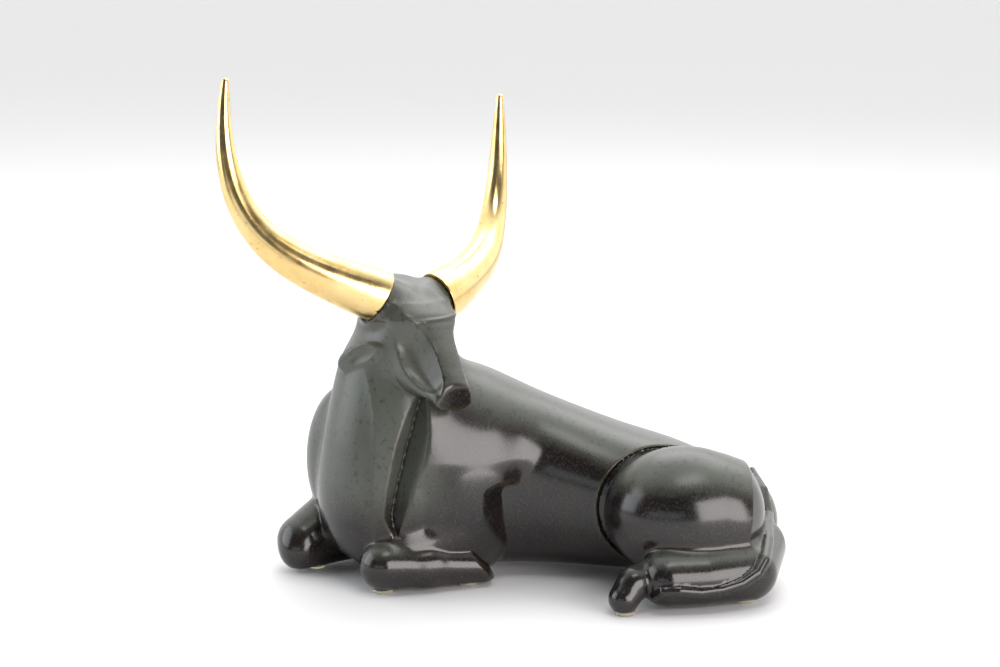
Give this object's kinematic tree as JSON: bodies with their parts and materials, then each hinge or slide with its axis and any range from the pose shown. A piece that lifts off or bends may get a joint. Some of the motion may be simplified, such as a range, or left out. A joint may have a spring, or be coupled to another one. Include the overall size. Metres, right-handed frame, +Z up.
{
  "type": "reclining longhorn bull sculpture",
  "caption": "Reclining longhorn bull in dark cast bronze, head turned aside, with two tall upswept polished brass horns and small clear pads under it.",
  "frame": {"origin": "middle of the bounding box in plan, at the table surface under the pads", "axes": "+Z up; the bull faces -Y, its left side is +X"},
  "size_m": [0.1616, 0.2618, 0.2356],
  "materials": {
    "bronze": "cast bronze, dark brown-black and grey-green patina, satin waxed",
    "horn_brass": "polished, lightly tarnished",
    "pad": "clear soft plastic, slightly yellowed"
  },
  "bodies": {
    "root": {"bull_body": "bronze", "horn_right": "horn_brass", "horn_left": "horn_brass", "pad_left_knee": "pad", "pad_left_fore_hoof": "pad", "pad_left_hind_hoof": "pad", "pad_left_rump": "pad", "pad_right_knee": "pad", "pad_right_rump": "pad"}
  },
  "joints": []
}
